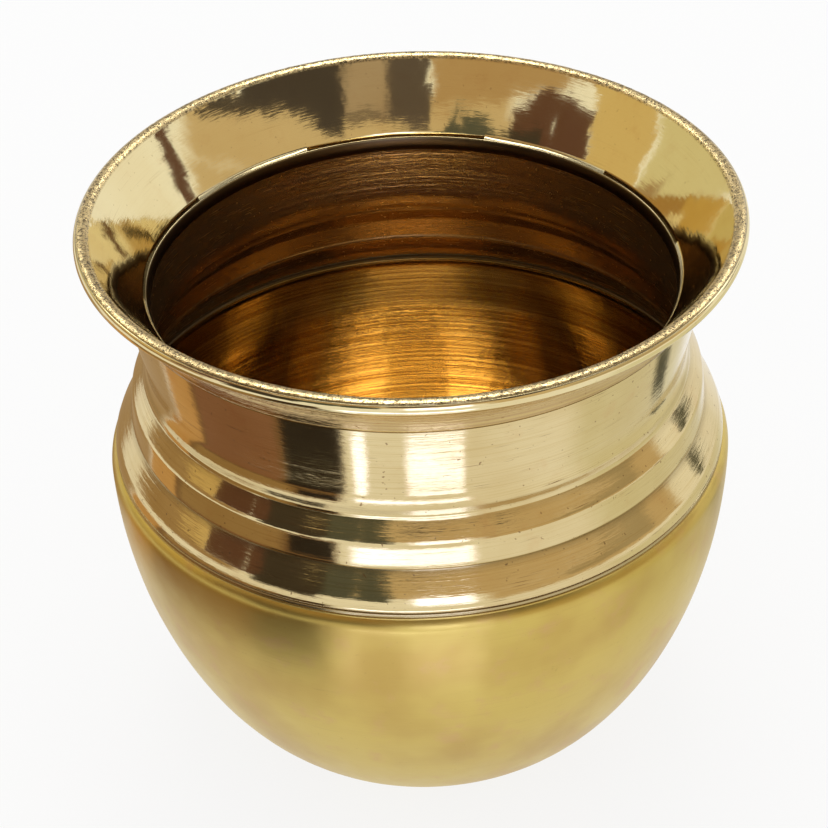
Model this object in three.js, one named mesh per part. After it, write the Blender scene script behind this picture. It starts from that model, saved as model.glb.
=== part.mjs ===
// A lota: a small brass water pot of thin sheet, turned about the +Z axis.
// Millimetres, +Z up, origin at the centre of the flat base.
//
// Three sheets make the pot. The mouth is a funnel whose upper edge is curled
// outwards round a stiffening wire, and whose collar hangs just inside the
// neck. The neck's upper edge is cut to the funnel's slope and meets its under
// face. The shoulder stands edge to edge on the bowl. A ring of brazing alloy
// closes each of the two joints, and fills the corner under the funnel.

import * as THREE from 'three';

// Overall sizes
const totalHeight = 101.5;
const rimRadius = 54;          // outside of the curled lip
const bellyRadius = 52.6;      // outside of the bowl at its widest
const baseRadius = 24;         // flat that the pot stands on

// Sheet, wire and joints
const sheet = 0.75;            // wall of all three sheets
const wireRadius = 0.55;
const wireGap = 0.08;          // between the wire and the curl round it
const collarGap = 0.55;        // between the collar and the neck round it
const brazeGap = 0.06;         // between a braze ring and each sheet

// Mouth
const throatRadius = 42.9;     // inside of the collar
const throatDepth = 14.5;      // from the lip down to the collar's lower edge
const collarHeight = 0.3;      // upright part of the collar
const flareBend = 3.5;         // radius of the bend from collar to funnel
const funnelBow = 0.25;        // how far the funnel's middle hangs inside a straight line
const curlEnd = -15;           // degrees, where the curl leaves the wire bare

// Shoulder, as depths below the lip and radii of the outer face
const neckLean = 10.5;         // degrees, how far the neck opens upwards
const waistDepth = 23.5;       // narrowest place, where the neck's foot spreads
const neckFootDepth = 26.8;
const neckFootSpread = 0.25;
const beadDepth = 27.45;       // small round bead at the foot of the neck
const beadRise = 0.5;
const beadHalfHeight = 0.55;
const ribTopDepth = 31.2;
const ribTopRadius = 47.8;
const ribFootDepth = 35.3;
const ribFootRadius = 48.3;
const grooveDepth = 35.7;
const grooveCut = 0.3;
const edgeDepth = 39.8;
const edgeInset = 0.55;        // edge of the shoulder inside the seam radius
const seamDepth = 41.8;
const seamInset = 1.05;        // seam radius inside the belly radius
const seamUpright = 0.6;       // upright edge of each sheet at the seam
const cornerSize = 0.8;        // length of each rounded corner of the ribs

// Bowl
const widestDepth = 45;        // belly's widest place, below the lip
const bellyReach = 28.5;       // pull of the side's curve, straight down
const baseReach = 13;          // pull of the base's curve, outwards
const seamSwell = 1.2;         // pull of the short curve from the seam

// Braze rings
const seamBrazeHeight = 0.7;
const seamBrazeRise = 0.35;    // of its low crown inside the pot
const neckBrazeWall = 0.35;    // between the neck's edge and the funnel
const coveReach = 3.6;         // of its hollow fillet, down the neck and up the funnel

// Fineness of the faceted surface
const turnSteps = 48;
const turnStep = Math.PI / 9;
const longestStep = 7;
const funnelSteps = 6;
const samePlace = 1e-6;

const lip = totalHeight;
const half = sheet / 2;
const degree = Math.PI / 180;

const polishedBrass = { color: 0xd9bd7a, roughness: 0.16, metalness: 1 };
const turnedBrass = { color: 0xcfae62, roughness: 0.24, metalness: 1 };
const satinBrass = { color: 0xc2a65c, roughness: 0.4, metalness: 1 };
const wireBrass = { color: 0xd6bb7c, roughness: 0.28, metalness: 1 };
const brazeAlloy = { color: 0xd8c592, roughness: 0.32, metalness: 1 };

// Points of a path. A curve gets one step for each turnStep of its bend or
// each longestStep of its length, whichever is more, and a line gets one.
function pathPoints(path) {
  const points = [];
  for (const curve of path.curves) {
    const bend = curve.isEllipseCurve
      ? Math.abs(curve.aEndAngle - curve.aStartAngle)
      : curve.getTangent(0).angleTo(curve.getTangent(1));
    const needed = Math.max(bend / turnStep, curve.getLength() / longestStep);
    const count = curve.isLineCurve ? 1 : Math.ceil(needed);
    for (const point of curve.getPoints(count)) {
      const last = points[points.length - 1];
      if (!last || last.distanceTo(point) > samePlace) points.push(point);
    }
  }
  return points;
}

// A sheet's closed outline: its middle line moved half a wall to each side.
function sheetOutline(middle) {
  const left = [];
  const right = [];
  middle.forEach((point, i) => {
    const before = middle[Math.max(i - 1, 0)];
    const after = middle[Math.min(i + 1, middle.length - 1)];
    const inward = point.clone().sub(before).normalize();
    const outward = after.clone().sub(point).normalize();
    const along = inward.add(outward).normalize();
    const side = new THREE.Vector2(-along.y, along.x).multiplyScalar(half);
    left.push(point.clone().add(side));
    right.push(point.clone().sub(side));
  });
  return [...left, ...right.reverse()];
}

function closeRing(outline) {
  return [...outline, outline[0].clone()];
}

// The profile runs anticlockwise in radius and height, so faces point out.
function signedArea(outline) {
  let area = 0;
  outline.forEach((a, i) => {
    const b = outline[(i + 1) % outline.length];
    area += (a.x * b.y - b.x * a.y) / 2;
  });
  return area;
}

function turned(name, outline, look) {
  const ordered = signedArea(outline) < 0 ? [...outline].reverse() : outline;
  const geometry = new THREE.LatheGeometry(ordered, turnSteps);
  geometry.rotateX(Math.PI / 2);
  const mesh = new THREE.Mesh(geometry, new THREE.MeshStandardMaterial(look));
  mesh.name = name;
  return mesh;
}

// Curl of the lip round its wire
const curlRadius = wireRadius + wireGap + half;
const lipRadius = curlRadius + half;
const wireCentre = new THREE.Vector2(rimRadius - lipRadius, lip - lipRadius);

// Centre of the collar's bend
const collarMiddle = throatRadius + half;
const bendCentre = new THREE.Vector2(
  collarMiddle + flareBend,
  lip - throatDepth + collarHeight,
);

// Along a wall that leans outwards by an angle, and square to it, outwards
function alongWall(angle) {
  return new THREE.Vector2(Math.sin(angle), Math.cos(angle));
}

function offWall(angle) {
  return new THREE.Vector2(Math.cos(angle), -Math.sin(angle));
}

// Lean of a line that passes two points at the given distances inside them
function leanBetween(low, lowInset, high, highInset) {
  const step = high.clone().sub(low);
  return Math.atan2(step.x, step.y) + Math.asin((lowInset - highInset) / step.length());
}

// A straight funnel would touch the bend and the curl. The real one is drawn
// in at its middle, so it meets the bend steeper and the curl flatter.
const straightLean = leanBetween(bendCentre, flareBend, wireCentre, curlRadius);
const pull = bendCentre.clone().addScaledVector(offWall(straightLean), -flareBend)
  .add(wireCentre.clone().addScaledVector(offWall(straightLean), -curlRadius))
  .multiplyScalar(0.5)
  .addScaledVector(offWall(straightLean), -2 * funnelBow);
const lowLean = leanBetween(bendCentre, flareBend, pull, 0);
const highLean = leanBetween(pull, 0, wireCentre, curlRadius);
const funnelLine = new THREE.QuadraticBezierCurve(
  bendCentre.clone().addScaledVector(offWall(lowLean), -flareBend),
  pull,
  wireCentre.clone().addScaledVector(offWall(highLean), -curlRadius),
);

function makeMouth() {
  const path = new THREE.Path();
  path.moveTo(collarMiddle, lip - throatDepth);
  path.lineTo(collarMiddle, bendCentre.y);
  path.absarc(bendCentre.x, bendCentre.y, flareBend, Math.PI, Math.PI - lowLean, true);
  for (const point of funnelLine.getPoints(funnelSteps)) {
    path.lineTo(point.x, point.y);
  }
  path.absarc(wireCentre.x, wireCentre.y, curlRadius, Math.PI - highLean, Math.PI / 2, true);
  path.absarc(wireCentre.x, wireCentre.y, curlRadius, Math.PI / 2, 0, true);
  path.absarc(wireCentre.x, wireCentre.y, curlRadius, 0, curlEnd * degree, true);
  return turned('mouth', closeRing(sheetOutline(pathPoints(path))), polishedBrass);
}

function makeRimWire() {
  const path = new THREE.Path();
  path.absarc(wireCentre.x, wireCentre.y, wireRadius, 0, 2 * Math.PI);
  return turned('rim_wire', pathPoints(path), wireBrass);
}

const seamRadius = bellyRadius - seamInset;

// The neck goes round the collar at the collar's gap and is narrowest here.
const upNeck = alongWall(neckLean * degree);
const offNeck = offWall(neckLean * degree);
const neckOuter = throatRadius + 2 * sheet + collarGap;
const neckWaist = new THREE.Vector2(neckOuter - half, lip - waistDepth);

// Points at a distance from the funnel's under face
function underFunnel(distance) {
  return funnelLine.getPoints(funnelSteps).map((point, i) => {
    const tangent = funnelLine.getTangent(i / funnelSteps);
    return point.addScaledVector(new THREE.Vector2(tangent.y, -tangent.x), half + distance);
  });
}

// Where a line crosses the points at a distance from the under face
function crossing(start, side, distance) {
  const face = underFunnel(distance);
  const offsets = face.map((point) => point.clone().sub(start).dot(side));
  const i = offsets.findIndex((offset, k) => offset <= 0 && offsets[k + 1] > 0);
  return face[i].clone().lerp(face[i + 1], offsets[i] / (offsets[i] - offsets[i + 1]));
}

// A point on the neck, moved out from its middle line, where the funnel's
// under face is the given distance away.
function neckPoint(moved, distance) {
  return crossing(neckWaist.clone().addScaledVector(offNeck, moved), offNeck, distance);
}

// A corner of the middle line, entered and left at cornerSize from it.
function roundCorner(path, corner, next) {
  const from = path.currentPoint;
  const into = corner.clone().sub(from).normalize().multiplyScalar(cornerSize);
  const out = next.clone().sub(corner).normalize().multiplyScalar(cornerSize);
  const start = corner.clone().sub(into);
  const end = corner.clone().add(out);
  path.lineTo(start.x, start.y);
  path.quadraticCurveTo(corner.x, corner.y, end.x, end.y);
}

function shoulderPoint(outerRadius, depth) {
  return new THREE.Vector2(outerRadius - half, lip - depth);
}

function makeShoulder() {
  const foot = shoulderPoint(neckOuter + neckFootSpread, neckFootDepth);
  const beadFoot = shoulderPoint(neckOuter + neckFootSpread + beadRise / 2, beadDepth + beadHalfHeight);
  const ribTop = shoulderPoint(ribTopRadius, ribTopDepth);
  const ribFoot = shoulderPoint(ribFootRadius, ribFootDepth);
  const groove = shoulderPoint(ribFootRadius - grooveCut, grooveDepth);
  const edge = shoulderPoint(seamRadius - edgeInset, edgeDepth);
  const seam = shoulderPoint(seamRadius, seamDepth - seamUpright);
  const edgeGap = neckBrazeWall + 2 * brazeGap;
  const top = neckPoint(0, edgeGap);
  const spread = neckWaist.clone().addScaledVector(upNeck, (foot.y - neckWaist.y) / 2);
  const path = new THREE.Path();
  path.moveTo(top.x, top.y);
  path.lineTo(neckWaist.x, neckWaist.y);
  path.quadraticCurveTo(spread.x, spread.y, foot.x, foot.y);
  path.quadraticCurveTo(foot.x + beadRise, lip - beadDepth, beadFoot.x, beadFoot.y);
  roundCorner(path, ribTop, ribFoot);
  path.lineTo(ribFoot.x, ribFoot.y);
  path.lineTo(groove.x, groove.y);
  roundCorner(path, edge, seam);
  path.lineTo(seam.x, seam.y);
  path.lineTo(seam.x, seam.y - seamUpright);
  const outline = sheetOutline(pathPoints(path));
  outline[0] = neckPoint(half, edgeGap);
  outline[outline.length - 1] = neckPoint(-half, edgeGap);
  return turned('shoulder', closeRing(outline), turnedBrass);
}

const bowlTop = lip - seamDepth - seamBrazeHeight;

function makeBowl() {
  const middle = bellyRadius - half;
  const widest = lip - widestDepth;
  const path = new THREE.Path();
  path.moveTo(seamRadius - half, bowlTop);
  path.lineTo(seamRadius - half, bowlTop - seamUpright);
  path.quadraticCurveTo(middle, widest + seamSwell, middle, widest);
  path.bezierCurveTo(
    middle, widest - bellyReach,
    baseRadius + baseReach, half,
    baseRadius, half,
  );
  path.lineTo(0, half);
  const outline = sheetOutline(pathPoints(path));
  outline.forEach((point) => {
    if (Math.abs(point.x) < samePlace) point.x = 0;
  });
  return turned('bowl', fromAxisToAxis(outline), satinBrass);
}

// The outline meets the axis at two neighbouring points, and is opened there.
function fromAxisToAxis(outline) {
  const cut = outline.findIndex((point, i) => {
    const next = outline[(i + 1) % outline.length];
    return point.x === 0 && next.x === 0;
  });
  return [...outline.slice(cut + 1), ...outline.slice(0, cut + 1)];
}

// A layer between the neck's upper edge and the funnel, and a hollow fillet
// outside that runs from the neck's face to the funnel's under face.
function makeNeckBraze() {
  const inner = neckPoint(-half, brazeGap);
  const shelf = neckPoint(-half, brazeGap + neckBrazeWall);
  const corner = neckPoint(half + brazeGap, brazeGap);
  const foot = corner.clone().addScaledVector(upNeck, -coveReach);
  const above = corner.clone().addScaledVector(alongWall(straightLean), coveReach);
  const toe = crossing(above, alongWall(straightLean), brazeGap);
  const path = new THREE.Path();
  path.moveTo(inner.x, inner.y);
  path.lineTo(shelf.x, shelf.y);
  const turn = neckPoint(half + brazeGap, brazeGap + neckBrazeWall);
  path.lineTo(turn.x, turn.y);
  path.lineTo(foot.x, foot.y);
  path.quadraticCurveTo(corner.x, corner.y, toe.x, toe.y);
  path.lineTo(corner.x, corner.y);
  return turned('neck_braze', closeRing(pathPoints(path)), brazeAlloy);
}

// A web between the two edges, flush outside and crowned inside.
function makeSeamBraze() {
  const top = lip - seamDepth - brazeGap;
  const bottom = bowlTop + brazeGap;
  const inside = seamRadius - sheet;
  const outline = [
    new THREE.Vector2(seamRadius, top),
    new THREE.Vector2(inside, top),
    new THREE.Vector2(inside - seamBrazeRise, (top + bottom) / 2),
    new THREE.Vector2(inside, bottom),
    new THREE.Vector2(seamRadius, bottom),
  ];
  return turned('seam_braze', closeRing(outline), brazeAlloy);
}

const lota = new THREE.Group();
lota.add(
  makeMouth(),
  makeRimWire(),
  makeNeckBraze(),
  makeShoulder(),
  makeSeamBraze(),
  makeBowl(),
);

export default lota;
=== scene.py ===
import math
import bpy
import numpy as np
from mathutils import Matrix, Vector


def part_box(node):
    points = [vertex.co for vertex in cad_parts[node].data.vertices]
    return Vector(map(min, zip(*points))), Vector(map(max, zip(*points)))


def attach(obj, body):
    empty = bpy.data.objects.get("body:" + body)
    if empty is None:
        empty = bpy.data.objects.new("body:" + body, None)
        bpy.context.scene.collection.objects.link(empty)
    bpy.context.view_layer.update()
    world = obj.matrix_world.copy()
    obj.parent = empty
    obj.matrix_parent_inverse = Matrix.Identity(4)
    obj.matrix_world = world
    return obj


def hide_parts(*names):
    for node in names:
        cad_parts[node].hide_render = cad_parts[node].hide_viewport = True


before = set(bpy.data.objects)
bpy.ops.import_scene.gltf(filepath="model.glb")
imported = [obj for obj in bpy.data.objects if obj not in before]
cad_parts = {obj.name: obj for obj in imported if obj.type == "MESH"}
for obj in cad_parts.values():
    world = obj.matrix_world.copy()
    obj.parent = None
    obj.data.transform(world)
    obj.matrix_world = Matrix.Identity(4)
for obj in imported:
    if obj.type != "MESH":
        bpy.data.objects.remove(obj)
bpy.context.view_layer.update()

mm = 0.001


# The camera comes first. Its place and tilt were fitted to the rim and seam ellipses of the photograph.
viewpoint = {
    "lens": 104.35, "sensor": 36.0,                 # mm
    "before": 329.8, "above": 202.7,                # mm in front of the axis, mm above the lip
    "downTilt": 36.51, "pan": 0.14, "roll": -2.45,  # degrees
    "clipStart": 0.01,                              # m
}


def placeCamera(v, lipTop):
    # turned by pan, then tilted down, then rolled; moved to its place in front of and above the lip
    data = bpy.data.cameras.new("viewCamera")
    data.lens = v["lens"]
    data.sensor_width = v["sensor"]
    data.clip_start = v["clipStart"]
    camera = bpy.data.objects.new("viewCamera", data)
    bpy.context.scene.collection.objects.link(camera)
    turn = (Matrix.Rotation(math.radians(v["pan"]), 4, "Z")
            @ Matrix.Rotation(math.radians(90 - v["downTilt"]), 4, "X")
            @ Matrix.Rotation(math.radians(v["roll"]), 4, "Z"))
    place = Vector((0, -v["before"] * mm, (lipTop + v["above"]) * mm))
    camera.matrix_world = Matrix.Translation(place) @ turn
    bpy.context.scene.camera = camera


def nodeSpan(name):
    # outer radius, lowest and highest level of a CAD node, in mm
    low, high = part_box(name)
    return {"radius": high.x / mm, "low": low.z / mm, "high": high.z / mm}


mouthSpan = nodeSpan("mouth")
wireSpan = nodeSpan("rim_wire")
shoulderSpan = nodeSpan("shoulder")
bowlSpan = nodeSpan("bowl")
lip = mouthSpan["high"]
sheet = 0.75    # wall of all three sheets, mm
placeCamera(viewpoint, lip)
print("stage: frame and camera ready")


# Runs of points in radius and height. Each is a formula sampled from 0 to 1.
def lineRun(a, b, count):
    # straight: a moved towards b by t
    t = np.linspace(0, 1, count)[:, None]
    return np.array(a) * (1 - t) + np.array(b) * t


def arcRun(centre, radius, start, end, count):
    # round: centre plus radius at an angle from start to end, in degrees
    angle = np.radians(np.linspace(start, end, count))
    return np.array(centre) + radius * np.stack([np.cos(angle), np.sin(angle)], -1)


def curveRun(points, count):
    # Bezier: each point weighted by powers of t and 1 - t and its binomial number
    t = np.linspace(0, 1, count)[:, None]
    n = len(points) - 1
    weights = [math.comb(n, i) * (1 - t) ** (n - i) * t ** i for i in range(n + 1)]
    return sum(weight * np.array(point) for weight, point in zip(weights, points))


def joinRuns(*runs):
    # one run after the other, with points left out that fall on the one before
    samePlace = 1e-6
    path = np.vstack(runs)
    step = np.linalg.norm(np.diff(path, axis=0), axis=1)
    return path[np.r_[True, step > samePlace]]


def lengthAlong(path):
    # running sum of the steps between points
    return np.r_[0, np.cumsum(np.linalg.norm(np.diff(path, axis=0), axis=1))]


def softened(path, spacing, reach):
    # even steps of the given spacing, then each point averaged with its neighbours out to reach
    fewest = 8
    s = lengthAlong(path)
    even = np.linspace(0, s[-1], max(int(s[-1] / spacing), fewest))
    fine = np.stack([np.interp(even, s, path[:, k]) for k in (0, 1)], -1)
    half = max(int(reach / spacing), 1)
    weight = np.hanning(2 * half + 3)[1:-1]
    padded = np.vstack([2 * fine[0] - fine[half:0:-1], fine, 2 * fine[-1] - fine[-2:-half - 2:-1]])
    return np.stack([np.convolve(padded[:, k], weight / weight.sum(), "valid") for k in (0, 1)], -1)


def sideways(path):
    # unit vector square to the path, to its left
    along = np.gradient(path, axis=0)
    along /= np.linalg.norm(along, axis=1)[:, None]
    return np.stack([-along[:, 1], along[:, 0]], -1)


def thinned(path, rows, crowd=None):
    # so many points, in even steps, but closer where the path bends and where crowd is high
    bendShare = 0.9
    s = lengthAlong(path)
    turn = np.abs(np.gradient(np.unwrap(np.arctan2(*np.gradient(path, axis=0).T))))
    weight = np.gradient(s) / s[-1] + bendShare * turn / max(turn.sum(), 1e-9)
    if crowd is not None:
        weight = weight * (1 + crowd)
    total = np.cumsum(weight)
    at = np.interp(np.linspace(total[0], total[-1], rows), total, np.arange(len(path)))
    return np.stack([np.interp(at, np.arange(len(path)), path[:, k]) for k in (0, 1)], -1)


def bump(x, centre, width):
    # bell curve of height 1
    return np.exp(-((x - centre) / width) ** 2)


def ramp(x, low, high):
    # 0 below low, 1 above high, smooth in between
    t = np.clip((x - low) / (high - low), 0, 1)
    return t * t * (3 - 2 * t)


# The pot was worked by hand, so it is a little out of round and its lip dips and rises.
handWork = {
    "oval": 0.22, "ovalPhase": 0.6, "threeLobed": 0.09, "lobePhase": 2.1, "lowShare": 0.35,    # mm, radians
    "lipWave": 0.18, "wavePhase": -0.9, "thirdWave": 0.6, "thirdPhase": 0.4,
    "worksFrom": 0.55, "footHeight": 8.0,    # share of the height, mm
}
# Dents of the spinning tool: lobes round the axis, pitch up the wall in mm, share of the depth.
dentWaves = ((5, 21.0, 1.0), (9, 13.0, 0.8), (14, 8.5, 0.55), (23, 6.0, 0.33), (37, 4.0, 0.16))


def handShift(angle, height):
    # two and three lobes change the radius; two slow waves that grow towards the lip change the height
    h = handWork
    near = np.clip((height / lip - h["worksFrom"]) / (1 - h["worksFrom"]), 0, 1)
    lobes = h["oval"] * np.cos(2 * angle + h["ovalPhase"])
    lobes = lobes + h["threeLobed"] * np.cos(3 * angle + h["lobePhase"])
    dr = lobes * (h["lowShare"] + (1 - h["lowShare"]) * near) * np.clip(height / h["footHeight"], 0, 1)
    waves = np.cos(2 * angle + h["wavePhase"]) + h["thirdWave"] * np.cos(3 * angle + h["thirdPhase"])
    return dr, h["lipWave"] * waves * near ** 2


def dents(angle, along, depth, seed):
    # sum of crossed waves: lobes round the axis times slower and faster waves along the wall
    rng = np.random.default_rng(seed)
    total = 0
    for lobes, pitch, share in dentWaves:
        for turn in (-1, 1):
            phase = rng.uniform(0, 2 * math.pi, 2)
            wave = np.cos(lobes * angle + phase[0]) * np.cos(turn * 2 * math.pi * along / pitch + phase[1])
            total = total + share * wave
    return depth * total / 2


def turnedPiece(name, loop, turns, marks, lift=None, onAxis=False):
    # loop carried round the axis: x = r cos a, y = r sin a, each point first moved along its normal by lift
    angle = np.arange(turns) * 2 * math.pi / turns
    rows = len(loop)
    ring = np.vstack([loop[-1:], loop, loop[:1]])
    along = np.gradient(loop, axis=0) if onAxis else ring[2:] - ring[:-2]
    along /= np.maximum(np.linalg.norm(along, axis=1), 1e-12)[:, None]
    normal = np.stack([along[:, 1], -along[:, 0]], -1)
    a = np.broadcast_to(angle[:, None], (turns, rows))
    r = np.broadcast_to(loop[:, 0], (turns, rows)).copy()
    z = np.broadcast_to(loop[:, 1], (turns, rows)).copy()
    dr, dz = handShift(a, z)
    if lift is not None:
        raised = lift(a, lengthAlong(loop)[None, :])
        r += raised * normal[:, 0]
        z += raised * normal[:, 1]
    r += dr
    z += dz
    points = (np.stack([r * np.cos(a), r * np.sin(a), z], -1) * mm).reshape(-1, 3)
    values = {key: np.broadcast_to(level, (turns, rows)).ravel() for key, level in marks.items()}
    i, j = np.meshgrid(np.arange(turns), np.arange(rows - 1 if onAxis else rows), indexing="ij")
    nextI = (i + 1) % turns
    nextJ = (j + 1) % rows
    corners = [i * rows + j, nextI * rows + j, nextI * rows + nextJ, i * rows + nextJ]
    quads = np.stack(corners, -1).reshape(-1, 4)
    fans = np.zeros((0, 3), int)
    if onAxis:
        # a point on the axis closes each end with a fan of triangles
        points = np.vstack([points, [[0, 0, loop[0, 1] * mm], [0, 0, loop[-1, 1] * mm]]])
        values = {key: np.r_[level, level[0], level[rows - 1]] for key, level in values.items()}
        here = np.arange(turns) * rows
        after = (np.arange(turns) + 1) % turns * rows
        first = np.full(turns, len(points) - 2)
        last = np.full(turns, len(points) - 1)
        startFan = np.stack([first, after, here], -1)
        endFan = np.stack([last, here + rows - 1, after + rows - 1], -1)
        fans = np.vstack([startFan, endFan])
    return meshPiece(name, points, quads, fans, values)


def meshPiece(name, points, quads, fans, marks):
    # a smooth mesh of four-sided faces and triangles, with one named value on each point for each mark
    corners = np.r_[quads.ravel(), fans.ravel()].astype(np.int32)
    starts = np.r_[np.arange(len(quads)) * 4, quads.size + np.arange(len(fans)) * 3].astype(np.int32)
    mesh = bpy.data.meshes.new(name)
    mesh.vertices.add(len(points))
    mesh.vertices.foreach_set("co", points.astype(np.float32).ravel())
    mesh.loops.add(len(corners))
    mesh.loops.foreach_set("vertex_index", corners)
    mesh.polygons.add(len(starts))
    mesh.polygons.foreach_set("loop_start", starts)
    for key, values in marks.items():
        mark = mesh.attributes.new(key, "FLOAT", "POINT")
        mark.data.foreach_set("value", values.astype(np.float32))
    mesh.update(calc_edges=True)
    mesh.validate()
    mesh.shade_smooth()
    piece = bpy.data.objects.new(name, mesh)
    bpy.context.scene.collection.objects.link(piece)
    return piece


# Shader maths: one class wraps a socket, so an expression on values adds its Math nodes.
class Value:
    def __init__(self, shader, socket):
        self.shader = shader
        self.socket = socket

    def maths(self, operation, first, second):
        node = self.shader.node("ShaderNodeMath", {"operation": operation}, {0: first, 1: second})
        return Value(self.shader, node.outputs[0])

    def __add__(self, other):
        return self.maths("ADD", self, other)

    def __radd__(self, other):
        return self.maths("ADD", other, self)

    def __sub__(self, other):
        return self.maths("SUBTRACT", self, other)

    def __rsub__(self, other):
        return self.maths("SUBTRACT", other, self)

    def __mul__(self, other):
        return self.maths("MULTIPLY", self, other)

    def __rmul__(self, other):
        return self.maths("MULTIPLY", other, self)

    def __truediv__(self, other):
        return self.maths("DIVIDE", self, other)

    def __pow__(self, other):
        return self.maths("POWER", self, other)

    def atLeast(self, other):
        return self.maths("MAXIMUM", self, other)

    def between(self, low, high):
        # 0 below low, 1 above high, smooth in between
        settings = {"interpolation_type": "SMOOTHSTEP"}
        sockets = {"Value": self, "From Min": low, "From Max": high}
        return self.shader.value("ShaderNodeMapRange", settings, sockets)


# Noise patterns. around and along say how often one changes round the axis and per mm up the wall. One with a
# scale is the same every way. mask is the stretch of noise that becomes 0 to 1.
patterns = {
    "fine": {"around": 1.3, "along": 5.5, "detail": 3.0, "rough": 0.6, "mask": (0.5, 0.72)},    # 0.2 mm lines
    "broad": {"around": 0.8, "along": 1.3, "detail": 2.0, "rough": 0.5},                        # 1 mm rings
    "rings": {"around": 1.0, "along": 2.2, "detail": 3.0, "rough": 0.7, "mask": (0.35, 0.7)},
    "jag": {"around": 28.0, "along": 2.6, "detail": 2.0, "rough": 0.5},                        # frayed edges
    "soft": {"around": 9.0, "along": 0.17, "detail": 2.0, "rough": 0.5},                        # 6 mm dents
    "cloud": {"around": 2.4, "along": 0.05, "detail": 3.0, "rough": 0.55, "mask": (0.4, 0.72)},
    "smudge": {"around": 8.0, "along": 0.16, "detail": 4.0, "rough": 0.62, "mask": (0.53, 0.78)},
    "scratch": {"around": 4.0, "along": 7.0, "detail": 2.0, "rough": 0.7, "mask": (0.6, 0.7)},
    "arcs": {"around": 6.0, "along": 0.8, "detail": 2.0, "rough": 0.5, "mask": (0.5, 0.66)},
    "speck": {"around": 70.0, "along": 1.4, "detail": 1.0, "rough": 0.5, "mask": (0.72, 0.78)},
    "worms": {"scale": 2300.0, "detail": 2.5, "rough": 0.6, "distortion": 1.2, "mask": (0.41, 0.53)},
}
middle = 0.5    # mean of a noise


class Shader:
    def __init__(self, owner):
        owner.use_nodes = True
        self.owner = owner
        self.tree = owner.node_tree
        self.tree.nodes.clear()

    def node(self, kind, settings, sockets):
        made = self.tree.nodes.new(kind)
        for key, setting in settings.items():
            setattr(made, key, setting)
        for key, given in sockets.items():
            if isinstance(given, Value):
                self.tree.links.new(given.socket, made.inputs[key])
            else:
                made.inputs[key].default_value = given
        return made

    def value(self, kind, settings, sockets, out=0):
        return Value(self, self.node(kind, settings, sockets).outputs[out])

    def mark(self, name):
        return self.value("ShaderNodeAttribute", {"attribute_name": name}, {}, "Fac")

    def mix(self, share, a, b):
        # a where share is 0, b where it is 1
        return self.value("ShaderNodeMix", {"data_type": "RGBA"}, {0: share, 6: a, 7: b}, 2)

    def place(self):
        return self.value("ShaderNodeTexCoord", {}, {}, "Object")

    def turned(self, around, along):
        # a vector that closes round the axis: unit direction times around, profile length in mm times along
        split = self.node("ShaderNodeSeparateXYZ", {}, {0: self.place()})
        x = Value(self, split.outputs[0])
        y = Value(self, split.outputs[1])
        reach = (x * x + y * y + 1e-9) ** 0.5
        sockets = {0: x / reach * around, 1: y / reach * around, 2: self.mark("along") * along}
        return self.value("ShaderNodeCombineXYZ", {}, sockets)

    def pattern(self, name):
        # noise of the turned vector, or of the plain place where the pattern has a scale
        p = patterns[name]
        sockets = {
            "Vector": self.place() if "scale" in p else self.turned(p["around"], p["along"]),
            "Scale": p.get("scale", 1.0), "Detail": p["detail"], "Roughness": p["rough"],
            "Distortion": p.get("distortion", 0.0),
        }
        return self.value("ShaderNodeTexNoise", {}, sockets)

    def mask(self, name, pattern=None):
        # the pattern's own stretch of noise, turned into 0 to 1
        return (pattern or self.pattern(name)).between(*patterns[name]["mask"])


# Every finish is the same brass with its own figures. Marks on the mesh say where soil and painted shade,
# grain, and the dull sides are; the dull sides' darker tone is partly painted shade.
brassTones = {
    "rose": (0.62, 0.38, 0.17, 1), "brown": (0.22, 0.12, 0.045, 1), "dark": (0.055, 0.032, 0.016, 1),
    "grainGold": (0.66, 0.50, 0.24, 1), "dullAndShadeDark": (0.36, 0.20, 0.06, 1),
}


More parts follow.
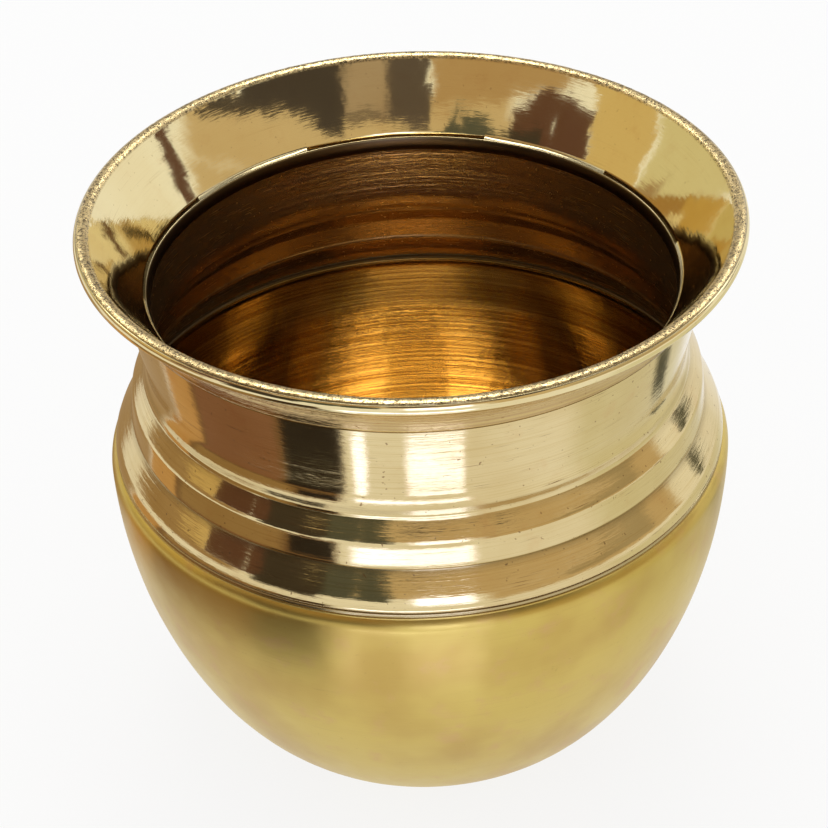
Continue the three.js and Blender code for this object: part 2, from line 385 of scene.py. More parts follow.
def brassMaterial(name, f):
    # colour: tarnish, blush, lines, wear, the dull sides' tone (partly painted shade), grain, then soil and
    # painted shade, laid over the pale brass in turn
    s = Shader(bpy.data.materials.new(name))
    t = brassTones
    fine = s.pattern("fine")
    smudge = s.pattern("smudge")
    worms = s.pattern("worms")
    dullAndShade = s.mark("dullAndShade")
    grainAt = s.mark("grain")
    soilAndShade = s.mark("soilAndShade")
    scratch = s.mask("scratch") * s.mask("arcs")
    worn = (scratch * f["scratches"]).atLeast(s.mask("speck") * f["specks"])
    colour = s.mix(s.mask("cloud") * f["tarnish"], f["pale"], f["deep"])
    colour = s.mix(s.mask("smudge", smudge) * f["blush"], colour, t["rose"])
    colour = s.mix(s.mask("fine", fine) * f["lineTone"], colour, f["deep"])
    colour = s.mix(worn, colour, t["brown"])
    # the dull sides' tone: darker under the funnel and inside the shoulder, partly a duller, oxidised finish
    # and partly painted shade; darker on the neck's braze; paler inside the bowl
    colour = s.mix(dullAndShade * f["dullAndShade"], colour, s.mix(s.mask("rings"), t["dullAndShadeDark"], f["dullAndShadeTone"]))
    grained = s.mix(s.mask("worms", worms), t["dark"], t["grainGold"])
    colour = s.mix(grainAt * f["grainCover"], colour, grained)
    # soil, and painted shade at the foot of the throat, darken towards near black
    colour = s.mix(soilAndShade, colour, t["dark"])
    rough = f["rough"] + f["satin"] * (smudge - middle) + dullAndShade * f["dullRough"]
    rough = rough + worn * f["wornRough"] + soilAndShade * f["soilAndShadeRough"] + grainAt * f["grainRough"]
    # height in mm: turning lines and rings, deeper inside, then dents, then the lip's grain
    turning = (fine - middle) * f["lineDepth"] + (s.pattern("broad") - middle) * f["ringDepth"]
    turning = turning + (s.pattern("jag") - middle) * f["jagDepth"]
    height = turning * (1 + dullAndShade * f["dullLines"]) + (s.pattern("soft") - middle) * f["dentDepth"]
    height = height + (worms - middle) * grainAt * f["grainDepth"]
    relief = s.value("ShaderNodeBump", {}, {"Strength": 1.0, "Distance": mm, "Height": height})
    surface = s.value("ShaderNodeBsdfPrincipled", {}, {
        "Base Color": colour, "Metallic": 1 - dullAndShade * f["film"], "Roughness": rough, "Normal": relief,
        "Anisotropic": f["anisotropy"], "Anisotropic Rotation": f["anisotropyTurn"],
    })
    s.node("ShaderNodeOutputMaterial", {}, {"Surface": surface})
    return s.owner


# Each look's dull tone: darker under the funnel and inside the shoulder, partly painted shade; paler inside
# the bowl.
sharedLook = {
    "grainCover": 0.85, "wornRough": 0.2, "soilAndShadeRough": 0.25, "grainRough": 0.2, "anisotropyTurn": 0.25,
}
polishedLook = {
    **sharedLook,
    "pale": (0.81, 0.69, 0.39, 1), "deep": (0.70, 0.53, 0.24, 1), "tarnish": 0.35, "blush": 0.25,
    "lineTone": 0.15, "scratches": 0.2, "specks": 0.25, "rough": 0.075, "satin": 0.03, "anisotropy": 0.2,
    "dullAndShade": 0.75, "dullAndShadeTone": (0.50, 0.40, 0.17, 1), "dullRough": 0.10, "dullLines": 3.0, "film": 0.0,
    "lineDepth": 0.0012, "ringDepth": 0.006, "jagDepth": 0.006, "dentDepth": 0.05, "grainDepth": 0.04,
}
turnedLook = {
    **sharedLook,
    "pale": (0.74, 0.60, 0.32, 1), "deep": (0.58, 0.42, 0.17, 1), "tarnish": 0.45, "blush": 0.4,
    "lineTone": 0.6, "scratches": 1.0, "specks": 0.7, "rough": 0.09, "satin": 0.04, "anisotropy": 0.4,
    "dullAndShade": 0.95, "dullAndShadeTone": (0.34, 0.2, 0.10, 1), "dullRough": 0.16, "dullLines": 3.0, "film": 0.04,
    "lineDepth": 0.006, "ringDepth": 0.018, "jagDepth": 0.012, "dentDepth": 0.03, "grainDepth": 0.0,
}
satinLook = {
    **sharedLook,
    "pale": (0.64, 0.48, 0.125, 1), "deep": (0.52, 0.34, 0.09, 1), "tarnish": 0.8, "blush": 0.6,
    "lineTone": 0.2, "scratches": 0.18, "specks": 0.12, "rough": 0.33, "satin": 0.12, "anisotropy": 0.5,
    "dullAndShade": 0.95, "dullAndShadeTone": (0.74, 0.57, 0.26, 1), "dullRough": -0.26, "dullLines": 2.0, "film": 0.02,
    "lineDepth": 0.002, "ringDepth": 0.005, "jagDepth": 0.006, "dentDepth": 0.06, "grainDepth": 0.0,
}
wireLook = {
    **turnedLook, "rough": 0.22, "grainDepth": 0.04, "ringDepth": 0.002, "jagDepth": 0.0, "anisotropy": 0.0,
}
brazeLook = {
    **turnedLook, "rough": 0.13, "grainDepth": 0.01,
    "dullAndShade": 0.8, "dullAndShadeTone": (0.55, 0.38, 0.13, 1), "dullRough": 0.01, "film": 0.0,
}
polished = brassMaterial("polishedBrass", polishedLook)
turnedFinish = brassMaterial("turnedBrass", turnedLook)
satinFinish = brassMaterial("satinBrass", satinLook)
wireFinish = brassMaterial("wireBrass", wireLook)
brazeFinish = brassMaterial("brazeAlloy", brazeLook)
print("stage: finishes ready")


def finishPiece(piece, node, material):
    # the piece takes its finish and hangs under the root body, and the CAD node is hidden
    piece.data.materials.append(material)
    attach(piece, "root")
    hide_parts(node)


# Mouth: collar, tight bend, funnel and the curl round the wire. Sizes in mm, angles round the wire in
# degrees.
# A pair with from in its name, and the throat's painted shade, lie above the collar's end, and one with until
# is below the lip.
mouthSize = {
    "throat": 42.9, "collar": 0.3, "bend": 3.5, "bow": 0.25, "wireGap": 0.08, "curlEnd": -15.0,
    "grainFrom": 54.0, "grainTo": 149.0, "grainFade": (2.0, 3.0), "grainLift": 0.013,
    # the lip's groove is cut in and darker along its line
    "groove": 49.0, "grooveWidth": 4.0, "grooveDepth": 0.07, "grooveDark": 0.75,
    "dentDepth": 0.02, "dentsFrom": (1.0, 3.0), "dentsUntil": (3.0, 1.5),
    "throatShade": (2.0, 3.0), "undersideUntil": (3.0, 2.0),
    "step": 0.02, "softCorner": 0.05, "curlReach": 1.2, "lipCrowd": 2.0, "grooveCrowd": 6.0,
    "turns": 1080, "innerRows": 52, "outerRows": 26, "grainSeed": 4, "dentSeed": 7,
}
wireRadius = (wireSpan["high"] - wireSpan["low"]) / 2
wireCentre = np.array([wireSpan["radius"] - wireRadius, (wireSpan["high"] + wireSpan["low"]) / 2])
curlRadius = wireRadius + mouthSize["wireGap"] + sheet / 2
bendAxis = mouthSize["throat"] + sheet / 2 + mouthSize["bend"]
bendCentre = np.array([bendAxis, mouthSpan["low"] + mouthSize["collar"]])


def slopeVectors(lean):
    # along a wall that leans out by this many degrees, and square to it, outwards and down
    a = math.radians(lean)
    return np.array([math.sin(a), math.cos(a)]), np.array([math.cos(a), -math.sin(a)])


def leanBetween(low, lowInset, high, highInset):
    # lean of a line that passes two points at the given distances inside them
    step = high - low
    lean = math.atan2(step[0], step[1]) + math.asin((lowInset - highInset) / math.hypot(*step))
    return math.degrees(lean)


# The funnel is drawn in at its middle: a Bezier that leaves the bend steeper and meets the curl flatter.
flare = leanBetween(bendCentre, mouthSize["bend"], wireCentre, curlRadius)
upFunnel, offFunnel = slopeVectors(flare)
pull = (bendCentre - offFunnel * mouthSize["bend"] + wireCentre - offFunnel * curlRadius) / 2
pull = pull - offFunnel * 2 * mouthSize["bow"]
lowLean = leanBetween(bendCentre, mouthSize["bend"], pull, 0)
highLean = leanBetween(pull, 0, wireCentre, curlRadius)
funnelLow = bendCentre - slopeVectors(lowLean)[1] * mouthSize["bend"]
funnelHigh = wireCentre - slopeVectors(highLean)[1] * curlRadius
funnelLine = curveRun([funnelLow, pull, funnelHigh], 200)
capPoints = 5    # points round a wall's end, between its two faces


def capRun(end, towards, wall):
    # half circle round the end of a wall, from the side that towards points to round to the other
    start = math.degrees(math.atan2(towards[1], towards[0]))
    return arcRun(end, wall / 2, start, start + 180, capPoints + 2)[1:-1]


def roundWire(points):
    # angle in degrees and distance of each point, seen from the middle of the wire
    away = points - wireCentre
    return np.degrees(np.arctan2(away[:, 1], away[:, 0])), np.hypot(away[:, 0], away[:, 1])


def makeMouth():
    # middle line of the sheet, then half its wall to either side; the lip's rows lie closer together
    m = mouthSize
    low = mouthSpan["low"]
    bottom = np.array([m["throat"] + sheet / 2, low + sheet / 2])
    path = joinRuns(
        lineRun(bottom, bottom + [0, m["step"]], 3),
        arcRun([bendAxis, bottom[1] + m["step"]], m["bend"], 180, 180 - lowLean, 30),
        funnelLine,
        arcRun(wireCentre, curlRadius, 180 - highLean, m["curlEnd"], 160),
    )
    path = softened(path, m["step"], m["softCorner"])
    side = sideways(path)
    angle, distance = roundWire(path)
    onCurl = distance < curlRadius * m["curlReach"]
    crowd = onCurl * (m["lipCrowd"] + m["grooveCrowd"] * bump(angle, m["groove"], 2 * m["grooveWidth"]))
    under = thinned(path - side * sheet / 2, m["outerRows"])
    upper = thinned(path + side * sheet / 2, m["innerRows"], crowd)[::-1]
    loop = np.vstack([under, capRun(path[-1], -side[-1], sheet), upper, capRun(path[0], side[0], sheet)])
    z = loop[:, 1]
    angle, distance = roundWire(loop)
    outside = distance > curlRadius
    fadeIn, fadeOff = m["grainFade"]
    grain = outside * ramp(angle, m["grainFrom"] - fadeIn, m["grainFrom"] + fadeIn)
    grain = grain * (1 - ramp(angle, m["grainTo"] - fadeOff, m["grainTo"] + fadeOff))
    groove = outside * bump(angle, m["groove"], m["grooveWidth"])
    onFunnel = ramp(z, low + m["dentsFrom"][0], low + m["dentsFrom"][1])
    onFunnel = onFunnel * (1 - ramp(z, lip - m["dentsUntil"][0], lip - m["dentsUntil"][1]))
    coarse = np.random.default_rng(m["grainSeed"]).normal(size=(m["turns"], len(loop)))
    coarse = (coarse + np.roll(coarse, 1, 0) + np.roll(coarse, 1, 1) + np.roll(coarse, (1, 1), (0, 1))) / 2

    def lift(a, along):
        # lip: smoothed random grains and the groove cut in; funnel: the dents of the spinning tool
        lipRise = grain * coarse * m["grainLift"] - groove * m["grooveDepth"]
        return lipRise + onFunnel * dents(a, along, m["dentDepth"], m["dentSeed"])

    # the under side is dull up to the lip, its darker tone partly a duller finish and partly painted shade
    # under the flare; the collar and the foot of the bend carry painted shade inside, as dark as the pot's
    # inside
    ends = [np.zeros(capPoints), np.full(capPoints, 0.5)]
    isUnder = np.r_[np.ones(len(under)), ends[0], np.zeros(len(upper)), ends[1]]
    isUnder *= 1 - ramp(z, lip - m["undersideUntil"][0], lip - m["undersideUntil"][1])
    paintedThroatShade = (isUnder < 1) * (1 - ramp(z, low + m["throatShade"][0], low + m["throatShade"][1]))
    # darker along the lip's groove, and painted shade at the throat
    soilAndShade = m["grooveDark"] * groove + paintedThroatShade
    marks = {"along": lengthAlong(loop), "dullAndShade": isUnder, "grain": grain, "soilAndShade": soilAndShade}
    return turnedPiece("mouth_sheet", loop, m["turns"], marks, lift)


def plainMarks(loop, grain=0.0, soilAndShade=0.0, dullAndShade=0.0):
    # the same value all over, and the length along the outline
    level = np.ones(len(loop))
    return {"along": lengthAlong(loop), "dullAndShade": dullAndShade * level, "grain": grain * level, "soilAndShade": soilAndShade * level}


wireSize = {"rows": 24, "turns": 960, "grain": 0.25, "soilAndShade": 0.1}


def makeWire():
    # a circle round the wire's centre
    w = wireSize
    loop = arcRun(wireCentre, wireRadius, 0, 360, w["rows"] + 1)[:-1]
    return turnedPiece("rim_wire_round", loop, w["turns"], plainMarks(loop, w["grain"], w["soilAndShade"]))


# Shoulder: the leaning neck, the small bead, the rib, the groove and the edge, as depths below the lip in mm.
# Each dark line has a width and a strength.
shoulderSize = {
    "collarGap": 0.55, "neckLean": 10.5, "waistDepth": 23.5, "footDepth": 26.8, "footSpread": 0.25,
    "beadDepth": 27.45, "beadRise": 0.5, "beadHalf": 0.55,
    "ribTopDepth": 31.2, "ribTop": 47.8, "ribFootDepth": 35.3, "ribFoot": 48.3,
    "grooveDepth": 35.7, "grooveCut": 0.3, "edgeDepth": 39.8, "edgeInset": 0.55, "upright": 0.6,
    "step": 0.04, "softCorner": 0.42, "dentDepth": 0.006, "dentsFrom": (20.0, 22.0), "dentSeed": 11,
    "grooveLine": (0.3, 0.48), "footLine": (0.25, 0.3), "beadLine": (0.3, 0.24), "beadLineDrop": 0.9,
    "turns": 640, "rows": 68, "edgeRows": 3,
}
brazeSize = {
    "gap": 0.06, "wall": 0.35, "reach": 3.6, "skin": 0.012, "foldIn": 1.5, "neckDullAndShade": 0.8,
    "seamInset": 0.04, "seamSwell": 0.05, "rise": 0.35, "seamSoil": 0.35, "innerSoil": 0.5, "turns": 640,
}
upNeck, offNeck = slopeVectors(shoulderSize["neckLean"])
neckOuter = mouthSize["throat"] + 2 * sheet + shoulderSize["collarGap"]
neckWaist = np.array([neckOuter - sheet / 2, lip - shoulderSize["waistDepth"]])
edgeGap = brazeSize["wall"] + 2 * brazeSize["gap"]


def underFunnel(start, side, distance):
    # where a line through start, square to side, crosses the points at this distance under the funnel
    face = funnelLine - sideways(funnelLine) * (sheet / 2 + distance)
    offset = (face - start) @ side
    return np.array([np.interp(0, offset, face[:, 0]), np.interp(0, offset, face[:, 1])])


def neckPoint(moved, distance):
    # from the waist out by moved, then up the neck to where the funnel's under face is this far off
    return underFunnel(neckWaist + offNeck * moved, offNeck, distance)


def makeShoulder():
    # middle line from the neck's waist down to the seam, softened; then both faces, with the neck straight up
    v = shoulderSize
    half = sheet / 2
    seam = shoulderSpan["radius"]

    def at(radius, depth):
        return np.array([radius - half, lip - depth])

    foot = at(neckOuter + v["footSpread"], v["footDepth"])
    beadTop = [foot[0] + v["beadRise"], lip - v["beadDepth"]]
    beadFoot = at(neckOuter + v["footSpread"] + v["beadRise"] / 2, v["beadDepth"] + v["beadHalf"])
    spread = neckWaist + upNeck * (foot[1] - neckWaist[1]) / 2
    seamEnd = np.array([seam - half, shoulderSpan["low"]])
    corners = [
        beadFoot, at(v["ribTop"], v["ribTopDepth"]), at(v["ribFoot"], v["ribFootDepth"]),
        at(v["ribFoot"] - v["grooveCut"], v["grooveDepth"]), at(seam - v["edgeInset"], v["edgeDepth"]),
        seamEnd + [0, v["upright"]], seamEnd + [0, half],
    ]
    path = joinRuns(
        curveRun([neckWaist, spread, foot], 30),
        curveRun([foot, beadTop, beadFoot], 16),
        *[lineRun(a, b, 12) for a, b in zip(corners[:-1], corners[1:])],
    )
    path = softened(path, v["step"], v["softCorner"])[::-1]
    side = sideways(path)
    neckOutside = lineRun(neckWaist + offNeck * half, neckPoint(half, edgeGap), 40)[1:]
    neckWithin = lineRun(neckWaist - offNeck * half, neckPoint(-half, edgeGap), 40)[1:]
    outer = thinned(joinRuns(path - side * half, neckOutside), v["rows"])
    inner = thinned(joinRuns(path + side * half, neckWithin), v["rows"])
    topEdge = lineRun(outer[-1], inner[-1], v["edgeRows"] + 2)[1:-1]
    loop = np.vstack([outer, topEdge, inner[::-1], capRun(path[0], side[0], sheet)])
    ends = [np.linspace(0, 1, v["edgeRows"]), np.full(capPoints, 0.5)]
    isInside = np.r_[np.zeros(len(outer)), ends[0], np.ones(len(inner)), ends[1]]
    depth = lip - loop[:, 1]
    darkLines = [
        (v["grooveDepth"], v["grooveLine"]), (v["footDepth"], v["footLine"]),
        (v["beadDepth"] + v["beadLineDrop"], v["beadLine"]),
    ]
    # darker lines on the outside along the groove, at the neck's foot and just under the bead
    soilAndShade = (1 - isInside) * sum(strength * bump(depth, at, width) for at, (width, strength) in darkLines)

    def lift(a, along):
        # dents start below the neck's edge
        return dents(a, along, v["dentDepth"], v["dentSeed"]) * ramp(depth, *v["dentsFrom"])

    marks = {"along": lengthAlong(loop), "dullAndShade": isInside, "grain": 0 * depth, "soilAndShade": soilAndShade}
    return turnedPiece("shoulder_sheet", loop, v["turns"], marks, lift)


# Bowl: from the seam over the belly to the flat base, with the wall inside it. Depths below the lip in mm.
bowlSize = {
    "widestDepth": 45.0, "bellyReach": 28.5, "baseReach": 13.0, "seamSwell": 1.2, "seamInset": 1.05,
    "base": 24.0, "upright": 0.6, "axisGap": 0.6,
    "dentDepth": 0.015, "dentsFrom": (3.0, 12.0), "dentsUntil": (4.0, 1.0), "dentSeed": 5,
    "stain": 0.5, "stainFrom": (46.5, 49.5), "turns": 512, "rows": 86,
}


def makeBowl():
    # middle line: upright at the seam, out to the widest place, then a Bezier of four points to the base
    v = bowlSize
    half = sheet / 2
    middleLine = bowlSpan["radius"] - half
    widest = [middleLine, lip - v["widestDepth"]]
    start = np.array([bowlSpan["radius"] - v["seamInset"] - half, bowlSpan["high"] - half])
    shoulderEnd = [start[0], bowlSpan["high"] - v["upright"]]
    baseEdge = [v["base"], half]
    bellyPull = [middleLine, widest[1] - v["bellyReach"]]
    basePull = [v["base"] + v["baseReach"], half]
    path = joinRuns(
        lineRun(start, shoulderEnd, 5),
        curveRun([shoulderEnd, [middleLine, widest[1] + v["seamSwell"]], widest], 40),
        curveRun([widest, bellyPull, basePull, baseEdge], 160),
        lineRun(baseEdge, [v["axisGap"], half], 12),
    )
    side = sideways(path)
    outer = thinned(path + side * half, v["rows"])
    inner = thinned(path - side * half, v["rows"])
    outer[:, 1] = np.maximum(outer[:, 1], 0)
    rim = capRun(path[0], [1, 0], sheet)
    loop = np.vstack([outer[::-1], rim, inner])
    z = loop[:, 1]
    isInside = np.r_[np.zeros(len(outer)), np.full(len(rim), 0.5), np.ones(len(inner))]

    def lift(a, along):
        # dents die out towards the seam and the flat base
        top = bowlSpan["high"]
        reach = ramp(z, *v["dentsFrom"]) * (1 - ramp(z, top - v["dentsUntil"][0], top - v["dentsUntil"][1]))
        return dents(a, along, v["dentDepth"], v["dentSeed"]) * reach

    # a stained band inside, above where the filling stood
    stain = v["stain"] * isInside * ramp(z, *v["stainFrom"])
    marks = {"along": lengthAlong(loop), "dullAndShade": isInside, "grain": 0 * isInside, "soilAndShade": stain}
    return turnedPiece("bowl_sheet", loop, v["turns"], marks, lift, onAxis=True)


# Braze rings: the layer and fillet between neck and funnel, and the web of the belly seam.
def makeNeckBraze():
    # a layer over the neck's edge, and a hollow fillet whose ends lie a hair proud of neck and funnel
    b = brazeSize
    half = sheet / 2
    skin = offNeck * b["skin"]
    layer = b["gap"] + b["wall"]
    corner = neckPoint(half, b["skin"])
    foot = corner - upNeck * b["reach"] + skin
    toe = underFunnel(corner + upFunnel * b["reach"], upFunnel, b["skin"])
    loop = joinRuns(
        lineRun(neckPoint(-half, layer), neckPoint(half, layer), 8),
        lineRun(foot - b["foldIn"] * skin, foot, 3),
        curveRun([foot, corner, toe], 20),
        lineRun(toe, neckPoint(-half, b["skin"]), 10),
        lineRun(neckPoint(-half, b["skin"]), neckPoint(-half, layer), 4)[:-1],
    )
    return turnedPiece("neck_braze_ring", loop, b["turns"], plainMarks(loop, dullAndShade=b["neckDullAndShade"]))


def makeSeamBraze():
    # a web that fills the seam: its outer face swells a hair and its inner face stands into the pot
    b = brazeSize
    top = shoulderSpan["low"] - b["gap"]
    bottom = bowlSpan["high"] + b["gap"]
    outer = shoulderSpan["radius"] - b["seamInset"]
    inner = outer - sheet
    level = (top + bottom) / 2
    loop = joinRuns(
        curveRun([[outer, bottom], [outer + b["seamSwell"], level], [outer, top]], 7),
        lineRun([outer, top], [inner, top], 4),
        curveRun([[inner, top], [inner - 2 * b["rise"], level], [inner, bottom]], 9),
        lineRun([inner, bottom], [outer, bottom], 4)[:-1],
    )
    within = loop[:, 0] < outer - sheet / 2
    soilAndShade = b["seamSoil"] + b["innerSoil"] * within
    return turnedPiece("seam_braze_ring", loop, b["turns"], plainMarks(loop, soilAndShade=soilAndShade))


finishPiece(makeMouth(), "mouth", polished)
finishPiece(makeWire(), "rim_wire", wireFinish)
finishPiece(makeShoulder(), "shoulder", turnedFinish)
finishPiece(makeBowl(), "bowl", satinFinish)
finishPiece(makeNeckBraze(), "neck_braze", brazeFinish)
finishPiece(makeSeamBraze(), "seam_braze", brazeFinish)
print("stage: pieces made")


# Studio: pale floor, white surroundings, a soft lamp, and cards that only a gloss sees. Lengths in m.
studio = {
    "floorHalf": 3.0, "floorDrop": 0.0002, "floorTone": (0.88, 0.88, 0.87, 1), "floorGlow": 0.85,
    "worldTone": (1, 1, 1, 1), "worldLight": 0.72,
    "lampPlace": (0, 0.40, 1.15), "lampSize": (0.5, 1.1), "lampBrightness": 2.3,
    "wallGrid": 49, "floorGrid": 25, "floorLift": 0.0004,
}


def seenByEyeOrGloss(s):
    # 1 for camera, glossy and transmission rays
    path = s.node("ShaderNodeLightPath", {}, {})
    kinds = ("Is Camera Ray", "Is Glossy Ray", "Is Transmission Ray")
    eye, gloss, through = [Value(s, path.outputs[kind]) for kind in kinds]
    return eye.atLeast(gloss).atLeast(through)


def makeFloor():
    # a square at the base's level whose own glow makes up for the light that it lacks to look white
    h = studio["floorHalf"]
    mesh = bpy.data.meshes.new("floor")
    mesh.from_pydata([(-h, -h, 0), (h, -h, 0), (h, h, 0), (-h, h, 0)], [], [(0, 1, 2, 3)])
    floor = bpy.data.objects.new("floor", mesh)
    bpy.context.scene.collection.objects.link(floor)
    floor.location.z = -studio["floorDrop"]
    s = Shader(bpy.data.materials.new("floorPale"))
    lit = s.value("ShaderNodeBsdfDiffuse", {}, {"Color": studio["floorTone"]})
    glow = s.value("ShaderNodeEmission", {}, {"Strength": 1.0})
    share = seenByEyeOrGloss(s) * studio["floorGlow"]
    surface = s.value("ShaderNodeMixShader", {}, {0: share, 1: lit, 2: glow})
    s.node("ShaderNodeOutputMaterial", {}, {"Surface": surface})
    floor.data.materials.append(s.owner)


def makeWorld():
    # white to the eye and to a gloss, and a little less as light
    world = bpy.data.worlds.new("studioWorld")
    bpy.context.scene.world = world
    s = Shader(world)
    strength = studio["worldLight"] + seenByEyeOrGloss(s) * (1 - studio["worldLight"])
    sky = s.value("ShaderNodeBackground", {}, {"Color": studio["worldTone"], "Strength": strength})
    s.node("ShaderNodeOutputWorld", {}, {"Surface": sky})


def makeLamp():
    # a flat lamp facing down: power is brightness times pi times area
    across, deep = studio["lampSize"]
    data = bpy.data.lights.new("windowAbove", "AREA")
    data.shape = "RECTANGLE"
    data.size = across
    data.size_y = deep
    data.energy = studio["lampBrightness"] * math.pi * across * deep
    lamp = bpy.data.objects.new("windowAbove", data)
    bpy.context.scene.collection.objects.link(lamp)
    lamp.location = studio["lampPlace"]
    lamp.visible_glossy = False    # a gloss mirrors the window cards instead


def direction(azimuth, elevation):
    # azimuth 0 is towards the camera and 90 to the right
    a = np.radians(azimuth)
    e = np.radians(elevation)
    return np.stack([np.sin(a) * np.cos(e), -np.cos(a) * np.cos(e), np.sin(e)], -1)


tones = {
    "nearBlack": (0.03, 0.024, 0.02), "softBlack": (0.06, 0.048, 0.036), "darkGrey": (0.07, 0.057, 0.052),
    "darkGreen": (0.10, 0.105, 0.085), "midGrey": (0.12, 0.095, 0.085), "darkBrown": (0.13, 0.065, 0.045),
    "shadeBrown": (0.12, 0.075, 0.045), "ceilingBrown": (0.16, 0.11, 0.07), "backBrown": (0.2, 0.14, 0.09),
    "umber": (0.20, 0.12, 0.065), "stone": (0.2, 0.155, 0.12), "orangeBrown": (0.27, 0.14, 0.085),
    "tan": (0.35, 0.23, 0.11), "clay": (0.4, 0.27, 0.14), "sand": (0.45, 0.32, 0.18),
    "fawn": (0.44, 0.34, 0.25), "straw": (0.46, 0.38, 0.25), "goldMid": (0.50, 0.34, 0.18),
    "amber": (0.6, 0.36, 0.15), "warmMid": (0.66, 0.52, 0.33), "goldPale": (0.70, 0.53, 0.25),
    "cream": (0.72, 0.66, 0.42), "paleGreen": (0.79, 0.78, 0.64), "coolWhite": (2.2, 2.4, 3.6),
    "dimWindow": (0.36, 0.36, 0.36), "sideWindow": (6.0, 6.0, 6.0), "highWindow": (9.0, 9.0, 9.0),
}


def cardMaterial(name, tone):
    # glow where cover is 1 and clear where it is 0
    s = Shader(bpy.data.materials.new(name))
    glow = s.value("ShaderNodeEmission", {}, {"Color": (*tones[tone], 1), "Strength": 1.0})
    clear = s.value("ShaderNodeBsdfTransparent", {}, {})
    surface = s.value("ShaderNodeMixShader", {}, {0: s.mark("cover"), 1: clear, 2: glow})
    s.node("ShaderNodeOutputMaterial", {}, {"Surface": surface})
    return s.owner


def card(name, points, cover, tone):
    # a grid of points whose edges fade out
    across, up = cover.shape
    i, j = np.meshgrid(np.arange(across - 1), np.arange(up - 1), indexing="ij")
    first = (i * up + j).ravel()
    quads = np.stack([first, first + up, first + up + 1, first + 1], -1)
    piece = meshPiece(name, points.reshape(-1, 3), quads, np.zeros((0, 3), int), {"cover": cover.ravel()})
    piece.data.materials.append(cardMaterial(name + "Tone", tone))
    piece.visible_camera = False
    piece.visible_diffuse = False
    piece.visible_shadow = False
    piece.visible_transmission = False


def fadeOut(u, v, softness):
    # 1 inside, falling to 0 at each edge over the softness, a share of the card's width and height
    edge = np.minimum(np.minimum(u, 1 - u) / softness[0], np.minimum(v, 1 - v) / softness[1])
    return ramp(edge, 0, 1)


# Crossed waves in degrees make the cards' edges uneven: share and rate of each sideways and upward wave.
unevenEdge = {"sway": ((1.0, 0.55), (0.5, 1.7)), "rise": ((0.6, 0.5), (0.3, 1.6)), "riseStart": 1.0}


def wallCard(name, azimuths, elevations, tone, distance, softness, wobble=0.8):
    # part of a sphere round the lip's centre; a pair as elevation is its value at the two ends
    steps = np.linspace(0, 1, studio["wallGrid"])
    u, v = np.meshgrid(steps, steps, indexing="ij")
    azimuth = azimuths[0] + (azimuths[1] - azimuths[0]) * u
    low, high = [np.interp(u, (0, 1), np.broadcast_to(level, 2)) for level in elevations]
    elevation = low + (high - low) * v
    (slowSway, slowRate), (fastSway, fastRate) = unevenEdge["sway"]
    sway = slowSway * np.sin(slowRate * elevation + azimuths[0]) + fastSway * np.sin(fastRate * elevation)
    azimuth = azimuth + wobble * sway
    (slowRise, slowRate), (fastRise, fastRate) = unevenEdge["rise"]
    fastWave = np.sin(fastRate * azimuth + unevenEdge["riseStart"])
    elevation = elevation + wobble * (slowRise * np.sin(slowRate * azimuth) + fastRise * fastWave)
    points = direction(azimuth, elevation) * distance + np.array([0, 0, lip * mm])
    card(name, points, fadeOut(u, v, softness), tone)


def floorCard(name, azimuths, reach, tone, softness, lift=studio["floorLift"]):
    # part of a ring on the floor, from one distance to the other off the axis
    steps = np.linspace(0, 1, studio["floorGrid"])
    u, v = np.meshgrid(steps, steps, indexing="ij")
    azimuth = azimuths[0] + (azimuths[1] - azimuths[0]) * u
    points = direction(azimuth, 0 * azimuth) * (reach[0] + (reach[1] - reach[0]) * v)[..., None]
    points[..., 2] = lift
    card(name, points, fadeOut(u, v, softness), tone)


makeFloor()
makeWorld()
makeLamp()
# Each row: name, azimuths in degrees, distances off the axis in m, tone, softness, and a lift that isn't the
# usual one.
floorCards = (
    # close to the pot: what the neck, the rib and the top of the belly mirror
    ("floorUnder", (-100, -27), (0.0855, 0.3), "umber", (0.02, 0.01), 0.0002),
    ("floorBlack", (-52, -28), (0.088, 0.125), "nearBlack", (0.06, 0.1)),
    ("floorBlackFar", (-45, -29), (0.145, 0.25), "nearBlack", (0.06, 0.1)),
    ("floorBrown", (-93, -52), (0.086, 0.125), "orangeBrown", (0.08, 0.1)),
    ("floorBrownFar", (-93, -45), (0.128, 0.3), "tan", (0.08, 0.05)),
    ("floorGold", (-112, -92), (0.086, 0.3), "amber", (0.15, 0.03)),
    ("floorMid", (-165, -109), (0.086, 0.4), "sand", (0.06, 0.02)),
    ("floorWhite", (-6.5, 16), (0.089, 0.105), "coolWhite", (0.1, 0.15)),
    ("floorWhiteFar", (-25, 17), (0.145, 0.22), "coolWhite", (0.08, 0.15)),
    ("floorWhiteSlim", (-25, -19.5), (0.088, 0.108), "coolWhite", (0.2, 0.15)),
    ("floorRight", (50, 135), (0.06, 0.5), "paleGreen", (0.2, 0.1)),
    ("floorDark", (101, 113), (0.104, 0.122), "darkGreen", (0.1, 0.1), 0.0006),
)
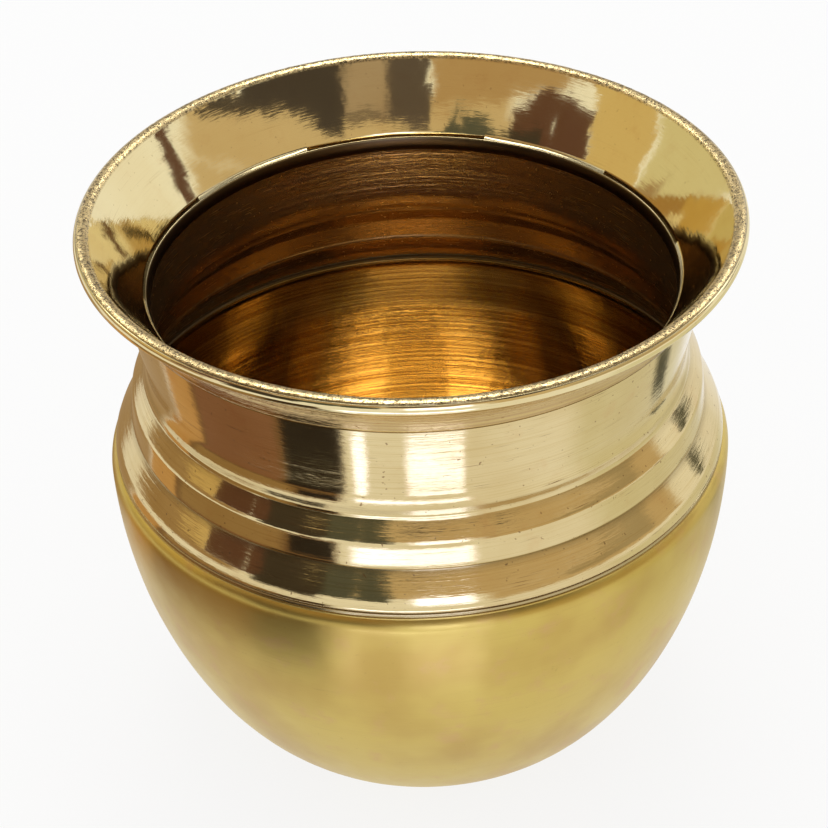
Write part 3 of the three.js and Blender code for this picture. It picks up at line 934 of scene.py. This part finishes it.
# Each row: name, azimuths and elevations in degrees, tone, distance in m, softness, and a wobble that isn't
# the usual one.
wallCards = (
    # low on the walls: what the slopes of the shoulder and the bend of the throat mirror
    ("lowBlack", (-60, -35), (-2, 31), "softBlack", 1.5, (0.05, 0.06)),
    ("lowBrown", (-122, -62), (-2, 12), "clay", 1.55, (0.12, 0.1)),
    ("lowRight", (45, 86), (6, 21), "straw", 1.5, (0.1, 0.2)),
    ("lowDark", (109, 123), (-2, 5), "darkGreen", 1.5, (0.1, 0.15)),
    ("frontWhite", (-6, 17), (0, 26), "coolWhite", 1.9, (0.15, 0.08)),
    # higher: the dark shapes and gold grounds that the funnel mirrors
    ("blobLeft", (-81.5, -64), (12, (31, 39.5)), "darkBrown", 2.0, (0.02, 0.03)),
    ("blobRight", (-65, -46.5), (12, (39.5, 36)), "darkBrown", 2.02, (0.02, 0.03)),
    ("hill", (-46, -24), (10, (29.5, 38.5)), "darkGreen", 2.1, (0.03, 0.05)),
    ("hillSlope", (-24.5, -12), (10, (38.5, 31)), "darkGreen", 2.12, (0.03, 0.05)),
    ("patchRight", (-11.5, 7), ((32, 34), (66, 66)), "midGrey", 2.2, (0.04, 0.06)),
    ("patchStreak", (4, 30), (38, 66), "fawn", 2.3, (0.25, 0.05)),
    ("patchMiddle", (27, 49), ((31, 36.5), (66, 66)), "darkGrey", 2.2, (0.03, 0.03)),
    ("patchLeft", (45, 71), ((36.5, 35.5), (66, 44)), "darkGrey", 2.22, (0.02, 0.03)),
    ("patchSlope", (70, 91), ((35.7, 33.7), (41, 38.5)), "darkGrey", 2.24, (0.03, 0.06)),
    ("darkStrip", (99, 106), (11, 46), "darkBrown", 2.0, (0.15, 0.03)),
    ("patchUnder", (-9, 70), ((35, 36.5), (64, 45)), "stone", 2.4, (0.02, 0.03)),
    ("goldAbove", (-95, -11), (37, 66), "goldMid", 2.6, (0.04, 0.08)),
    ("goldRight", (-107, -81), (8, 42), "goldPale", 2.5, (0.03, 0.06)),
    ("paleRight", (-150, -107), (0, 38), "cream", 2.5, (0.06, 0.1)),
    ("warmWall", (-50, 97), (22, 42), "warmMid", 2.8, (0.04, 0.1)),
    ("warmLow", (19, 99), (-1, 24), "warmMid", 2.7, (0.04, 0.1)),
    # behind and above: the windows that the inside of the bowl mirrors, and the dark ceiling round them
    ("windowLow", (128, 232), (46, 63), "dimWindow", 1.9, (0.04, 0.1), 0),
    ("windowHigh", (120, 240), (60, 79), "highWindow", 1.85, (0.04, 0.1), 0),
    ("stripeLeft", (-157, -124), (33, 45), "sideWindow", 1.95, (0.1, 0.1), 0),
    ("stripeRight", (124, 157), (33, 45), "sideWindow", 1.95, (0.1, 0.1), 0),
    ("ceilingLeft", (-180, -90), (50, 72), "shadeBrown", 3.0, (0.03, 0.1)),
    ("ceilingRight", (88, 180), (50, 72), "ceilingBrown", 3.0, (0.03, 0.1)),
    ("ceilingFront", (-92, 90), (64, 78), "ceilingBrown", 3.0, (0.03, 0.1)),
    ("lowBack", (152, 208), (8, 28), "backBrown", 3.0, (0.08, 0.1)),
)
for row in floorCards:
    floorCard(*row)
for row in wallCards:
    wallCard(*row)
print("stage: studio ready")

scene = bpy.context.scene
scene.view_settings.view_transform = "Standard"
